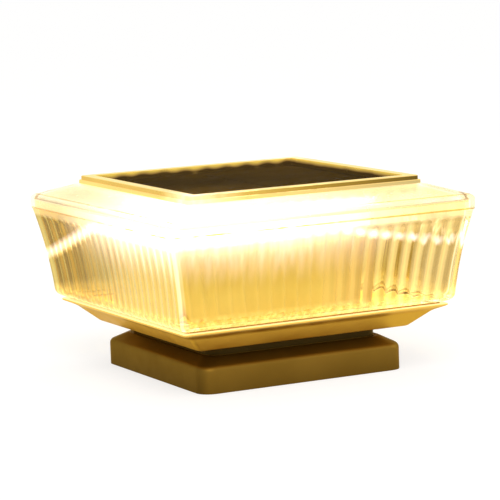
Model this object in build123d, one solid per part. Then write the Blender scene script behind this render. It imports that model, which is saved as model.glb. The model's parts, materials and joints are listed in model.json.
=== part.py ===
from build123d import *
from math import cos, radians, sin, sqrt
import os

# Solar fence light: a clear fluted lamp head with a solar panel on top. The head stands by a square
# neck on a base that is screwed to a post or pillar, and lifts off it along +Z.
# Millimetres, +Z up, origin at the centre of the base's underside, front face towards -Y.

# Clearances
SLIDE_CLEARANCE = 0.3  # each side, spigot in the base socket
FIT_CLEARANCE = 0.3  # each side, between pieces that drop into each other
SCREW_CLEARANCE = 0.2  # radial, screw shank in a through hole
THREAD_CLEARANCE = 0.05  # radial, screw shank in its boss

# Base
BASE_WIDTH = 121.0
BASE_HEIGHT = 13.5  # upright sides
HIP_RISE = 4.5  # sloped top, from the sides up to the neck
HIP_LAND = 0.8
BASE_CORNER = 8.0
BASE_EDGE = 3.0
BASE_WALL = 2.5
CUP_WALL = 2.0
CUP_FLOOR = 2.5
CUP_RIM = 1.5  # width of the rim that holds the plinth down
CUP_RIM_HEIGHT = 1.2
PAD_THICKNESS = 1.0
POST_SCREW_SPACING = 60.0
POST_SCREW_HOLE = 5.0
PAD_HOLE = 7.0

# Neck, spigot and its sealing ring
NECK_HEIGHT = 5.5
NECK_SEAT = 3.0  # width of the edge that stands on the base
NECK_FLANGE = 2.0
SPIGOT_CORNER = 6.0
SPIGOT_DEPTH = 11.5
SPIGOT_WALL = 3.0
SEAL_SECTION = 1.8
SEAL_PROUD = 0.2

# Lens: wider at the top, walls bowed inwards, flutes on the inside
RIM_WIDTH = 180.0
SEAM_STEP = 0.7
LENS_BOTTOM_WIDTH = 163.0
LENS_HEIGHT = 49.5
LENS_BOW = 0.9
LENS_ROUND = 5.0
LENS_WALL = 2.6
LENS_FLANGE_WIDTH = 8.5
LENS_FLANGE = 2.4
HEAD_CORNER = 2.5
FLUTES = 20
FLUTE_DEPTH = 1.3
FLUTE_CORNER = 4.0
FLUTE_FOOT = 4.0  # lens underside to the flutes' lower ends
FLUTE_HEAD = 3.0  # flutes' upper ends to the seam
TONGUE_HEIGHT = 4.0
TONGUE_WALL = 1.4
GASKET_THICKNESS = 1.0

# Tray under the lens
LIP_STEP = 2.0  # lip stands out past the flat of the lens underside
LIP_EDGE = 1.0
LIP_RUN = 6.0
LIP_RISE = 2.7
LIP_SEAT = 6.5
SLOPE_RUN = 10.0
SLOPE_RISE = 8.8
TRAY_WALL = 2.2
LOWER_GASKET_WIDTH = 3.0
LOWER_GASKET_INSET = 3.1

# Clear cover with its rim band
SKIRT_TAPER = 0.4
SKIRT_RISE = 4.9
RIM_ROUND = 3.2
RIM_TURN = 72.0  # degrees of the rim's rounding
ROUND_STEPS = 4  # straight facets in each rounding of lens foot and rim
SHOULDER_RISE = 5.85
COVER_WALL = 2.4
COVER_STEP = 1.0  # ledge over the upper gasket, inside the tongue

# Solar panel and its frame, from the inside out
PANEL_WIDTH = 123.2
PANEL_CORNER = 1.5
PANEL_CLEARANCE = 0.4
PANEL_RECESS = 2.8
GLASS_THICKNESS = 1.2
CELL_THICKNESS = 0.25
CELL_COLUMNS = 2
CELL_ROWS = 6
CELL_GAP = 1.2
PANEL_MARGIN = 3.0
BACKSHEET_THICKNESS = 1.2
TAPE_THICKNESS = 0.5
TAPE_WIDTH = 5.0
COLLAR_WALL = 1.7
LEDGE_WIDTH = 7.0
LEDGE_THICKNESS = 3.0
FRAME_OVERLAP = 5.0
FRAME_SETBACK = 1.0
FRAME_STEP = 1.0
FRAME_STEP_HEIGHT = 2.0
FRAME_HEIGHT = 4.2
FRAME_CORNER = 2.0
FRAME_EDGE = 0.6

# Core column that carries the panel and hides the electronics
CORE_WALL = 2.0
CORE_FLOOR = 2.2
CORE_CORNER = 3.0
CORE_FLANGE = 2.2
FOAM_WIDTH = 3.2

# LED boards under the core's flange
LED_COUNT = 11
LED_PITCH = 9.0
LED_LENGTH = 3.5
LED_WIDTH = 2.8
LED_HEIGHT = 0.8
LED_BOARD_WIDTH = 8.0
LED_BOARD_END = 0.5
LED_BOARD_THICKNESS = 1.0

# Battery, holder and door
BATTERY_DIAMETER = 14.2
BATTERY_LENGTH = 50.0
BATTERY_NUB_DIAMETER = 5.5
BATTERY_NUB = 1.5
BATTERY_Y = 10.0
HOLDER_WALL = 1.6
HOLDER_CLEARANCE = 0.4
CONTACT_SPACE = 2.0
CONTACT_THICKNESS = 0.5
CONTACT_WIDTH = 10.0
CONTACT_DIMPLE = 6.0
CONTACT_TAIL = 3.0
TAIL_PROUD = 2.0
TAIL_CLEARANCE = 0.1
DOOR_EAR = 10.0
DOOR_LAP = 2.5
DOOR_THICKNESS = 1.8
DOOR_CORNER = 2.0
DOOR_CLEARANCE = 1.0  # door to the edge of the service opening

# Control board, switch and button
BOARD_OVERHANG = 1.0  # past each end of the battery holder
BOARD_DEPTH = 26.0
BOARD_THICKNESS = 1.6
BOARD_Y = -22.0
BOARD_SCREW_INSET = 4.0
CHIP_SIZE = 6.0
CHIP_HEIGHT = 1.5
COIL_DIAMETER = 8.0
COIL_HEIGHT = 4.0
CAPACITOR_DIAMETER = 6.3
CAPACITOR_HEIGHT = 8.0
PART_SPACING = 14.0
PART_SETBACK = 4.0
SWITCH_SIZE = 12.0
SWITCH_HEIGHT = 4.5
SWITCH_GAP = 0.9
PLUNGER_DIAMETER = 3.4
PLUNGER_CLEARANCE = 0.1
BUTTON_DIAMETER = 12.0
BUTTON_LAP = 1.5
BUTTON_FLANGE = 1.2
BUTTON_PROUD = 1.5
BUTTON_TRAVEL = 1.5
BUTTON_EDGE = 0.5

# Screws
SCREW_LARGE = 3.0
SCREW_SMALL = 2.5
HEAD_RATIO = 1.9  # head diameter over shank diameter
HEAD_HEIGHT_RATIO = 0.6
RECESS_RATIO = 0.2
BOSS_WALL = 2.0
BOSS_GAP = 1.8  # tray screw boss to the core wall
BOSS_HEIGHT = 10.0
TRAY_SCREW_LENGTH = 14.0
COVER_SCREW_LENGTH = 4.5
BOARD_SCREW_LENGTH = 6.0
DOOR_SCREW_LENGTH = 6.0
DOOR_BOSS_HEIGHT = 4.0

# Wires inside the core
WIRE_RADIUS = 0.8
JUMPER_RADIUS = 0.6
WIRE_HOLE_CLEARANCE = 0.3
WIRE_BEND = 2.0
WIRE_SWEEP = 8.0
WIRE_DROP = 5.0
LEAD_RISE = 22.4
PANEL_LEAD_Y = 4.0
PANEL_LEAD_DROP = 21.0
BATTERY_LEAD_RISE = 9.8
LED_LEAD_INSET = 7.0
TERMINAL_INSET = 4.0
PANEL_TERMINALS = (-18.0, -14.0)
BATTERY_TERMINALS = (-2.0, 2.0)
LED_TERMINALS = (14.0, 18.0)

# Heights of the stack, bottom to top
socket_bottom = PAD_THICKNESS + CUP_FLOOR
base_top = BASE_HEIGHT + HIP_RISE
spigot_bottom = base_top - SPIGOT_DEPTH
tray_bottom = base_top + NECK_HEIGHT
core_bottom = tray_bottom + TRAY_WALL
core_floor = core_bottom + CORE_FLOOR
slope_top = tray_bottom + SLOPE_RISE
lip_low = slope_top + LIP_RISE
lip_top = lip_low + LIP_EDGE
lens_bottom = lip_top + GASKET_THICKNESS
wall_start = lens_bottom + LENS_ROUND
seam = lens_bottom + LENS_HEIGHT
flute_bottom = lens_bottom + FLUTE_FOOT
flute_top = seam - FLUTE_HEAD
tongue_top = seam + TONGUE_HEIGHT
cover_step = tongue_top + GASKET_THICKNESS
rim_widest = seam + SKIRT_RISE
shoulder_start = rim_widest + RIM_ROUND * sin(radians(RIM_TURN))
plateau = shoulder_start + SHOULDER_RISE
frame_top = plateau + FRAME_HEIGHT
glass_bottom = frame_top - PANEL_RECESS - GLASS_THICKNESS
cell_bottom = glass_bottom - CELL_THICKNESS
backsheet_bottom = cell_bottom - BACKSHEET_THICKNESS
ledge_top = backsheet_bottom - TAPE_THICKNESS
flange_top = ledge_top - LEDGE_THICKNESS
flange_bottom = flange_top - CORE_FLANGE
led_board_bottom = flange_bottom - LED_BOARD_THICKNESS
board_lift = BUTTON_FLANGE + BUTTON_TRAVEL + SWITCH_GAP + SWITCH_HEIGHT
board_bottom = core_floor + board_lift
board_top = board_bottom + BOARD_THICKNESS
battery_z = core_bottom + FIT_CLEARANCE + BATTERY_DIAMETER / 2
holder_ceiling = battery_z + BATTERY_DIAMETER / 2 + HOLDER_CLEARANCE
holder_top = holder_ceiling + HOLDER_WALL

# Widths worked out from the driving dimensions
holder_length = BATTERY_LENGTH + 2 * CONTACT_SPACE
holder_width = BATTERY_DIAMETER + 2 * HOLDER_CLEARANCE
door_length = holder_length + 2 * DOOR_EAR
service_width = door_length + 2 * DOOR_CLEARANCE
tray_boss_radius = SCREW_LARGE / 2 + BOSS_WALL
small_boss_radius = SCREW_SMALL / 2 + BOSS_WALL
tray_screw_offset = service_width / 2 + tray_boss_radius + SCREW_CLEARANCE
bore_width = 2 * (tray_screw_offset + SCREW_LARGE * HEAD_RATIO / 2 + FIT_CLEARANCE)
spigot_width = bore_width + 2 * SPIGOT_WALL
socket_width = spigot_width + 2 * SLIDE_CLEARANCE
neck_width = spigot_width + 2 * NECK_SEAT
cup_width = socket_width + 2 * CUP_WALL
cup_rim_width = cup_width + 2 * CUP_RIM
socket_corner = SPIGOT_CORNER + SLIDE_CLEARANCE
cup_corner = socket_corner + CUP_WALL
cup_rim_corner = cup_corner + CUP_RIM
hip_top_width = cup_rim_width + 2 * FIT_CLEARANCE + 2 * HIP_LAND
core_inner = 2 * (tray_screw_offset + tray_boss_radius + BOSS_GAP)
core_width = core_inner + 2 * CORE_WALL
lens_top_width = RIM_WIDTH - 2 * SEAM_STEP
lens_foot_width = LENS_BOTTOM_WIDTH - 2 * LENS_ROUND
lip_width = lens_foot_width + 2 * LIP_STEP
shoulder_width = lip_width - 2 * LIP_RUN
tray_floor_width = shoulder_width - 2 * SLOPE_RUN
pocket_width = PANEL_WIDTH + 2 * PANEL_CLEARANCE
collar_width = pocket_width + 2 * COLLAR_WALL
ledge_opening = pocket_width - 2 * LEDGE_WIDTH
cover_opening = collar_width + 2 * FIT_CLEARANCE
frame_width = cover_opening + 2 * FRAME_OVERLAP
plateau_width = frame_width + 2 * FRAME_SETBACK
foam_inner = cover_opening + 2 * FIT_CLEARANCE
flange_width = foam_inner + 2 * FOAM_WIDTH
led_offset = (core_width + flange_width) / 4
led_board_length = LED_COUNT * LED_PITCH + 2 * LED_BOARD_END
board_length = holder_length + 2 * BOARD_OVERHANG
cover_screw_offset = pocket_width / 2 - LEDGE_WIDTH / 2
door_screw_x = holder_length / 2 + HOLDER_WALL + small_boss_radius
terminal_y = BOARD_Y - BOARD_DEPTH / 2 + TERMINAL_INSET

CORNERS = [(1, 1), (-1, 1), (-1, -1), (1, -1)]
SIDES = {"front": 0, "right": 90, "back": 180, "left": 270}
ON_BASE = (Align.CENTER, Align.CENTER, Align.MIN)


def rounded_square(width, z, corner):
    return Pos(0, 0, z) * RectangleRounded(width, width, corner)


def slab(width, bottom, top, corner):
    return extrude(rounded_square(width, bottom, corner), top - bottom)


def stack(levels, corner):
    """Straight-sided solid through rounded squares, given as (z, width) from the bottom up."""
    return loft([rounded_square(width, z, corner) for z, width in levels], ruled=True)


def disc(radius, bottom, top, x=0, y=0):
    return Pos(x, y, bottom) * Cylinder(radius, top - bottom, align=ON_BASE)


def block(length, depth, bottom, top, x=0, y=0):
    return Pos(x, y, bottom) * Box(length, depth, top - bottom, align=ON_BASE)


def corner_points(offset_x, offset_y=None, centre_y=0):
    reach_y = offset_x if offset_y is None else offset_y
    return [(x * offset_x, centre_y + y * reach_y) for x, y in CORNERS]


def screw(x, y, seat, length, diameter, points_up):
    """Pan-head screw with a cross recess; seat is the plane under its head."""
    head_height = diameter * HEAD_HEIGHT_RATIO
    head_radius = diameter * HEAD_RATIO / 2
    recess_width = diameter * RECESS_RATIO
    recess_top = recess_width - head_height
    body = disc(head_radius, -head_height, 0) + disc(diameter / 2, 0, length)
    body -= block(head_radius, recess_width, -head_height, recess_top)
    body -= block(recess_width, head_radius, -head_height, recess_top)
    return Pos(x, y, seat) * (body if points_up else Rot(180, 0, 0) * body)


def wire(points, radius, bends):
    path = FilletPolyline(*points, radius=bends)
    section = Plane(path @ 0, z_dir=path % 0) * Circle(radius)
    return sweep(section, path)


def lens_width(z):
    """Outer width of the lens wall at a height: a straight flare less its inward bow."""
    share = (z - wall_start) / (seam - wall_start)
    straight = LENS_BOTTOM_WIDTH + (lens_top_width - LENS_BOTTOM_WIDTH) * share
    return straight - 2 * LENS_BOW * 4 * share * (1 - share)


def valley_width(z):
    """Inner width of the lens at the bottom of the valleys between its flutes."""
    return lens_width(z) - 2 * LENS_WALL


def fluted_section(z):
    """Inside outline of the lens: half-round flutes bulge inwards on every side."""
    half = valley_width(z) / 2
    run = half - FLUTE_CORNER
    pitch = 2 * run / FLUTES
    corner_mid = run + FLUTE_CORNER * sqrt(0.5)
    edges = []
    for angle in SIDES.values():
        turn = Rot(0, 0, angle)
        for i in range(FLUTES):
            start = i * pitch - run
            crest = (start + pitch / 2, FLUTE_DEPTH - half, z)
            edges.append(turn * ThreePointArc((start, -half, z), crest, (start + pitch, -half, z)))
        edges.append(turn * ThreePointArc((run, -half, z), (corner_mid, -corner_mid, z), (half, -run, z)))
    return Face(Wire(edges))


def base_plinth():
    cavity_width = BASE_WIDTH - 2 * BASE_WALL
    ceiling = base_top - BASE_WALL
    shell = stack([(0, BASE_WIDTH), (BASE_HEIGHT, BASE_WIDTH), (base_top, hip_top_width)], BASE_CORNER)
    shell = fillet(shell.edges().filter_by_position(Axis.Z, BASE_HEIGHT, BASE_HEIGHT), BASE_EDGE)
    inside = [(0, cavity_width), (BASE_HEIGHT - BASE_WALL / 2, cavity_width), (ceiling, hip_top_width)]
    shell -= stack(inside, BASE_CORNER - BASE_WALL)
    rim_bottom = base_top - CUP_RIM_HEIGHT
    shell -= slab(cup_width + 2 * FIT_CLEARANCE, ceiling, rim_bottom, cup_corner + FIT_CLEARANCE)
    seat_corner = cup_rim_corner + FIT_CLEARANCE
    return shell - slab(cup_rim_width + 2 * FIT_CLEARANCE, rim_bottom, base_top, seat_corner)


def mount_cup():
    cup = slab(cup_width, PAD_THICKNESS, base_top, cup_corner)
    cup += slab(cup_rim_width, base_top - CUP_RIM_HEIGHT, base_top, cup_rim_corner)
    cup -= slab(socket_width, socket_bottom, base_top, socket_corner)
    for x, y in corner_points(POST_SCREW_SPACING / 2):
        cup -= disc(POST_SCREW_HOLE / 2, PAD_THICKNESS, socket_bottom, x, y)
    return cup


def base_pad():
    width = BASE_WIDTH - 2 * BASE_WALL - 2 * FIT_CLEARANCE
    pad = slab(width, 0, PAD_THICKNESS, BASE_CORNER - BASE_WALL)
    for x, y in corner_points(POST_SCREW_SPACING / 2):
        pad -= disc(PAD_HOLE / 2, 0, PAD_THICKNESS, x, y)
    return pad


def spigot_ring(proud):
    """Square ring round the spigot at half its depth, from the seal's groove out past the wall."""
    middle = spigot_bottom + SPIGOT_DEPTH / 2
    low = middle - SEAL_SECTION / 2
    high = middle + SEAL_SECTION / 2
    groove = SEAL_SECTION - SEAL_PROUD
    ring = slab(spigot_width + 2 * proud, low, high, SPIGOT_CORNER + proud)
    return ring - slab(spigot_width - 2 * groove, low, high, SPIGOT_CORNER - groove)


def neck_ring():
    neck = slab(neck_width, base_top, tray_bottom, SPIGOT_CORNER + NECK_SEAT)
    neck += slab(spigot_width, spigot_bottom, base_top, SPIGOT_CORNER)
    neck -= slab(bore_width, spigot_bottom, tray_bottom - NECK_FLANGE, SPIGOT_CORNER - SPIGOT_WALL)
    neck -= slab(service_width, tray_bottom - NECK_FLANGE, tray_bottom, DOOR_CORNER)
    neck -= spigot_ring(0)
    for x, y in corner_points(tray_screw_offset):
        neck -= disc(SCREW_LARGE / 2 + SCREW_CLEARANCE, tray_bottom - NECK_FLANGE, tray_bottom, x, y)
    return neck


def bottom_tray():
    outside = [(tray_bottom, tray_floor_width), (slope_top, shoulder_width)]
    outside += [(lip_low, lip_width), (lip_top, lip_width)]
    inside = [(core_bottom, tray_floor_width - TRAY_WALL), (lip_top, lip_width - 2 * LIP_SEAT)]
    tray = stack(outside, HEAD_CORNER) - stack(inside, HEAD_CORNER)
    tray -= slab(service_width, tray_bottom, core_bottom, DOOR_CORNER)
    for x, y in corner_points(tray_screw_offset):
        tray -= disc(SCREW_LARGE / 2 + SCREW_CLEARANCE, tray_bottom, core_bottom, x, y)
    return tray


def spigot_seal():
    return spigot_ring(SEAL_PROUD)


def lower_gasket():
    outer = lip_width - 2 * LOWER_GASKET_INSET
    inner = outer - 2 * LOWER_GASKET_WIDTH
    ring = slab(outer, lip_top, lens_bottom, HEAD_CORNER)
    return ring - slab(inner, lip_top, lens_bottom, HEAD_CORNER)


def fluted_lens():
    foot = []
    for i in range(ROUND_STEPS + 1):
        angle = radians(90 * i / ROUND_STEPS)
        width = lens_foot_width + 2 * LENS_ROUND * sin(angle)
        foot.append((lens_bottom + LENS_ROUND * (1 - cos(angle)), width))
    wall_levels = [wall_start, (wall_start + seam) / 2, seam]
    lens = stack(foot, HEAD_CORNER)
    lens += loft([rounded_square(lens_width(z), z, HEAD_CORNER) for z in wall_levels])
    top_inner = valley_width(flute_top)
    lens += slab(top_inner + 2 * TONGUE_WALL, seam, tongue_top, HEAD_CORNER)
    flute_levels = [flute_bottom, (flute_bottom + flute_top) / 2, flute_top]
    lens -= loft([fluted_section(z) for z in flute_levels])
    lens -= slab(top_inner, flute_top, tongue_top, FLUTE_CORNER)
    flange_top_z = lens_bottom + LENS_FLANGE
    lens -= slab(valley_width(flute_bottom) - 2 * FLUTE_DEPTH, flange_top_z, flute_bottom, FLUTE_CORNER)
    lens -= slab(lens_foot_width - 2 * LENS_FLANGE_WIDTH, lens_bottom, flange_top_z, FLUTE_CORNER)
    return lens


def upper_gasket():
    inner = valley_width(flute_top)
    ring = slab(inner + 2 * TONGUE_WALL, tongue_top, cover_step, HEAD_CORNER)
    return ring - slab(inner, tongue_top, cover_step, FLUTE_CORNER)


def top_cover():
    tongue_width = valley_width(flute_top) + 2 * TONGUE_WALL
    rim_centre = RIM_WIDTH - 2 * RIM_ROUND
    outside = [(seam, RIM_WIDTH - 2 * SKIRT_TAPER)]
    for i in range(ROUND_STEPS + 1):
        angle = radians(RIM_TURN * i / ROUND_STEPS)
        outside.append((rim_widest + RIM_ROUND * sin(angle), rim_centre + 2 * RIM_ROUND * cos(angle)))
    outside.append((plateau, plateau_width))
    ceiling = plateau - COVER_WALL
    cover = stack(outside, HEAD_CORNER)
    cover -= slab(tongue_width + 2 * FIT_CLEARANCE, seam, cover_step, HEAD_CORNER)
    dome_low = valley_width(flute_top) - 2 * COVER_STEP
    cover -= stack([(cover_step, dome_low), (ceiling, flange_width + 2 * FRAME_SETBACK)], HEAD_CORNER)
    return cover - slab(cover_opening, ceiling, plateau, FRAME_CORNER)


def solar_frame():
    step_top = plateau + FRAME_STEP_HEIGHT
    rim = slab(frame_width - 2 * FRAME_STEP, step_top, frame_top, FRAME_CORNER)
    rim = fillet(rim.faces().sort_by(Axis.Z)[-1].edges(), FRAME_EDGE)
    step = slab(frame_width, plateau, step_top, FRAME_CORNER)
    step = fillet(step.faces().sort_by(Axis.Z)[-1].edges(), FRAME_EDGE)
    frame = step + rim + slab(collar_width, flange_top, plateau, FRAME_CORNER)
    frame -= slab(pocket_width, ledge_top, frame_top, PANEL_CORNER)
    frame -= slab(ledge_opening, flange_top, ledge_top, PANEL_CORNER)
    hole_top = flange_bottom + COVER_SCREW_LENGTH + THREAD_CLEARANCE
    for x, y in corner_points(cover_screw_offset):
        frame -= disc(SCREW_SMALL / 2 + THREAD_CLEARANCE, flange_top, hole_top, x, y)
    return frame


def panel_tape():
    ring = slab(PANEL_WIDTH, ledge_top, backsheet_bottom, PANEL_CORNER)
    return ring - slab(PANEL_WIDTH - 2 * TAPE_WIDTH, ledge_top, backsheet_bottom, PANEL_CORNER)


def panel_backsheet():
    return slab(PANEL_WIDTH, backsheet_bottom, cell_bottom, PANEL_CORNER)


def solar_cells():
    area = PANEL_WIDTH - 2 * PANEL_MARGIN
    length = (area - (CELL_COLUMNS - 1) * CELL_GAP) / CELL_COLUMNS
    depth = (area - (CELL_ROWS - 1) * CELL_GAP) / CELL_ROWS
    cells = []
    for column in range(CELL_COLUMNS):
        for row in range(CELL_ROWS):
            x = (column - (CELL_COLUMNS - 1) / 2) * (length + CELL_GAP)
            y = (row - (CELL_ROWS - 1) / 2) * (depth + CELL_GAP)
            cells.append(block(length, depth, cell_bottom, glass_bottom, x, y))
    return Compound(cells)


def panel_glass():
    return slab(PANEL_WIDTH, glass_bottom, glass_bottom + GLASS_THICKNESS, PANEL_CORNER)


def cover_foam():
    ceiling = plateau - COVER_WALL
    ring = slab(flange_width, flange_top, ceiling, FRAME_CORNER)
    return ring - slab(foam_inner, flange_top, ceiling, FRAME_CORNER)


def board_screw_points():
    return corner_points(board_length / 2 - BOARD_SCREW_INSET, BOARD_DEPTH / 2 - BOARD_SCREW_INSET, BOARD_Y)


def led_pads():
    """Two places between LEDs of the front board where its leads start."""
    return [(LED_COUNT // 2 - 0.5) * LED_PITCH, (LED_COUNT // 2 - 1.5) * LED_PITCH]


def led_lead_z():
    return led_board_bottom - WIRE_DROP


def core_housing():
    """Square reflector column that stands on the chassis plate, with holes for the LED leads."""
    column = slab(core_width, core_floor, flange_bottom, CORE_CORNER)
    column -= slab(core_inner, core_floor, flange_bottom, CORE_CORNER)
    lead_hole = Cylinder(WIRE_RADIUS + WIRE_HOLE_CLEARANCE, 3 * CORE_WALL)
    for x in led_pads():
        column -= Pos(x, (CORE_WALL - core_width) / 2, led_lead_z()) * Rot(90, 0, 0) * lead_hole
    return column


def led_carrier():
    """Flat ring on top of the column, screwed up into the solar frame."""
    ring = slab(flange_width, flange_bottom, flange_top, FRAME_CORNER)
    ring -= slab(core_inner, flange_bottom, flange_top, CORE_CORNER)
    for x, y in corner_points(cover_screw_offset):
        ring -= disc(SCREW_SMALL / 2 + SCREW_CLEARANCE, flange_bottom, flange_top, x, y)
    return ring


def chassis_plate():
    """Floor of the column, with the bosses for tray, board and door and the holes for battery and button."""
    plate = slab(core_width, core_bottom, core_floor, CORE_CORNER)
    boss_top = core_floor + BOSS_HEIGHT
    for x, y in corner_points(tray_screw_offset):
        plate += disc(tray_boss_radius, core_floor, boss_top, x, y)
        plate -= disc(SCREW_LARGE / 2 + THREAD_CLEARANCE, core_bottom, boss_top, x, y)
    for x, y in board_screw_points():
        plate += disc(small_boss_radius, core_floor, board_bottom, x, y)
        plate -= disc(SCREW_SMALL / 2 + THREAD_CLEARANCE, core_floor, board_bottom, x, y)
    plate -= block(holder_length, holder_width, core_bottom, core_floor, 0, BATTERY_Y)
    door_boss_top = core_floor + DOOR_BOSS_HEIGHT
    for x in (-door_screw_x, door_screw_x):
        plate += disc(small_boss_radius, core_floor, door_boss_top, x, BATTERY_Y)
        plate -= disc(SCREW_SMALL / 2 + THREAD_CLEARANCE, core_bottom, door_boss_top, x, BATTERY_Y)
    plate -= disc(BUTTON_DIAMETER / 2 + FIT_CLEARANCE, core_bottom, core_floor, 0, BOARD_Y)
    return plate


def led_board(side):
    board = block(led_board_length, LED_BOARD_WIDTH, led_board_bottom, flange_bottom, 0, -led_offset)
    return Rot(0, 0, SIDES[side]) * board


def leds(side):
    lights = []
    for i in range(LED_COUNT):
        x = (i - (LED_COUNT - 1) / 2) * LED_PITCH
        light = block(LED_LENGTH, LED_WIDTH, led_board_bottom - LED_HEIGHT, led_board_bottom, x, -led_offset)
        lights.append(Rot(0, 0, SIDES[side]) * light)
    return Compound(lights)


def battery_cell():
    can_end = BATTERY_LENGTH / 2 - BATTERY_NUB
    can = disc(BATTERY_DIAMETER / 2, -BATTERY_LENGTH / 2, can_end)
    nub = disc(BATTERY_NUB_DIAMETER / 2, can_end, BATTERY_LENGTH / 2)
    return Pos(0, BATTERY_Y, battery_z) * Rot(0, 90, 0) * (can + nub)


def contact_x():
    return (holder_length - CONTACT_THICKNESS) / 2


def battery_holder():
    outer_length = holder_length + 2 * HOLDER_WALL
    outer_width = holder_width + 2 * HOLDER_WALL
    holder = block(outer_length, outer_width, core_floor, holder_top, 0, BATTERY_Y)
    holder -= block(holder_length, holder_width, core_floor, holder_ceiling, 0, BATTERY_Y)
    slot_length = CONTACT_THICKNESS + 2 * TAIL_CLEARANCE
    slot_width = CONTACT_TAIL + 2 * TAIL_CLEARANCE
    for x in (-contact_x(), contact_x()):
        holder -= block(slot_length, slot_width, holder_ceiling, holder_top, x, BATTERY_Y)
    return holder


def battery_contacts():
    dimple_length = CONTACT_SPACE - CONTACT_THICKNESS
    dimple_x = (BATTERY_LENGTH + dimple_length) / 2
    leaves = []
    for side in (-1, 1):
        x = side * contact_x()
        tail_top = holder_top + TAIL_PROUD
        leaf = block(CONTACT_THICKNESS, CONTACT_WIDTH, core_floor, holder_ceiling, x, BATTERY_Y)
        leaf += block(CONTACT_THICKNESS, CONTACT_TAIL, holder_ceiling, tail_top, x, BATTERY_Y)
        dimple = Rot(0, 90, 0) * Cylinder(CONTACT_DIMPLE / 2, dimple_length)
        leaf += Pos(side * dimple_x, BATTERY_Y, battery_z) * dimple
        leaves.append(leaf)
    return Compound(leaves)


def battery_door():
    width = holder_width + 2 * DOOR_LAP
    bottom = core_bottom - DOOR_THICKNESS
    outline = Pos(0, BATTERY_Y, bottom) * RectangleRounded(door_length, width, DOOR_CORNER)
    door = extrude(outline, DOOR_THICKNESS)
    for x in (-door_screw_x, door_screw_x):
        door -= disc(SCREW_SMALL / 2 + SCREW_CLEARANCE, bottom, core_bottom, x, BATTERY_Y)
    return door


def control_board():
    board = block(board_length, BOARD_DEPTH, board_bottom, board_top, 0, BOARD_Y)
    for x, y in board_screw_points():
        board -= disc(SCREW_SMALL / 2 + SCREW_CLEARANCE, board_bottom, board_top, x, y)
    return board


def board_parts():
    y = BOARD_Y + PART_SETBACK
    chip = block(CHIP_SIZE, CHIP_SIZE, board_top, board_top + CHIP_HEIGHT, 0, y)
    coil = disc(COIL_DIAMETER / 2, board_top, board_top + COIL_HEIGHT, -PART_SPACING, y)
    capacitor = disc(CAPACITOR_DIAMETER / 2, board_top, board_top + CAPACITOR_HEIGHT, PART_SPACING, y)
    return Compound([chip, coil, capacitor])


def switch_body():
    body = block(SWITCH_SIZE, SWITCH_SIZE, board_bottom - SWITCH_HEIGHT, board_bottom, 0, BOARD_Y)
    bore = PLUNGER_DIAMETER / 2 + PLUNGER_CLEARANCE
    return body - disc(bore, board_bottom - SWITCH_HEIGHT, board_bottom, 0, BOARD_Y)


def switch_plunger():
    top = board_bottom - BUTTON_TRAVEL - FIT_CLEARANCE
    return disc(PLUNGER_DIAMETER / 2, core_floor + BUTTON_FLANGE, top, 0, BOARD_Y)


def power_button():
    cap = disc(BUTTON_DIAMETER / 2, core_bottom - BUTTON_PROUD, core_floor, 0, BOARD_Y)
    cap = fillet(cap.faces().sort_by(Axis.Z)[0].edges(), BUTTON_EDGE)
    return cap + disc(BUTTON_DIAMETER / 2 + BUTTON_LAP, core_floor, core_floor + BUTTON_FLANGE, 0, BOARD_Y)


def tray_screws():
    places = corner_points(tray_screw_offset)
    seat = tray_bottom - NECK_FLANGE
    return Compound([screw(x, y, seat, TRAY_SCREW_LENGTH, SCREW_LARGE, True) for x, y in places])


def cover_screws():
    places = corner_points(cover_screw_offset)
    return Compound([screw(x, y, flange_bottom, COVER_SCREW_LENGTH, SCREW_SMALL, True) for x, y in places])


def board_screws():
    places = board_screw_points()
    return Compound([screw(x, y, board_top, BOARD_SCREW_LENGTH, SCREW_SMALL, False) for x, y in places])


def door_screws():
    seat = core_bottom - DOOR_THICKNESS
    places = [(x, BATTERY_Y) for x in (-door_screw_x, door_screw_x)]
    return Compound([screw(x, y, seat, DOOR_SCREW_LENGTH, SCREW_SMALL, True) for x, y in places])


def panel_wires():
    wires = []
    for x in PANEL_TERMINALS:
        points = [(x, PANEL_LEAD_Y, backsheet_bottom), (x, PANEL_LEAD_Y, backsheet_bottom - PANEL_LEAD_DROP)]
        points += [(x, terminal_y, board_top + LEAD_RISE), (x, terminal_y, board_top)]
        wires.append(wire(points, WIRE_RADIUS, WIRE_SWEEP))
    return Compound(wires)


def battery_wires():
    start_z = holder_top + TAIL_PROUD
    bend_z = start_z + BATTERY_LEAD_RISE
    wires = []
    for x, terminal in zip((-contact_x(), contact_x()), BATTERY_TERMINALS):
        points = [(x, BATTERY_Y, start_z), (x, BATTERY_Y, bend_z)]
        points += [(terminal, terminal_y, bend_z), (terminal, terminal_y, board_top)]
        wires.append(wire(points, WIRE_RADIUS, WIRE_SWEEP))
    return Compound(wires)


def led_wires():
    pad_y = LED_BOARD_WIDTH / 2 - led_offset - WIRE_RADIUS
    inside_y = LED_LEAD_INSET - core_inner / 2
    lead_z = led_lead_z()
    wires = []
    for x, terminal in zip(led_pads(), reversed(LED_TERMINALS)):
        points = [(x, pad_y, led_board_bottom), (x, pad_y, lead_z), (x, inside_y, lead_z)]
        points += [(terminal, terminal_y, board_top + LEAD_RISE), (terminal, terminal_y, board_top)]
        wires.append(wire(points, WIRE_RADIUS, WIRE_BEND))
    return Compound(wires)


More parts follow.
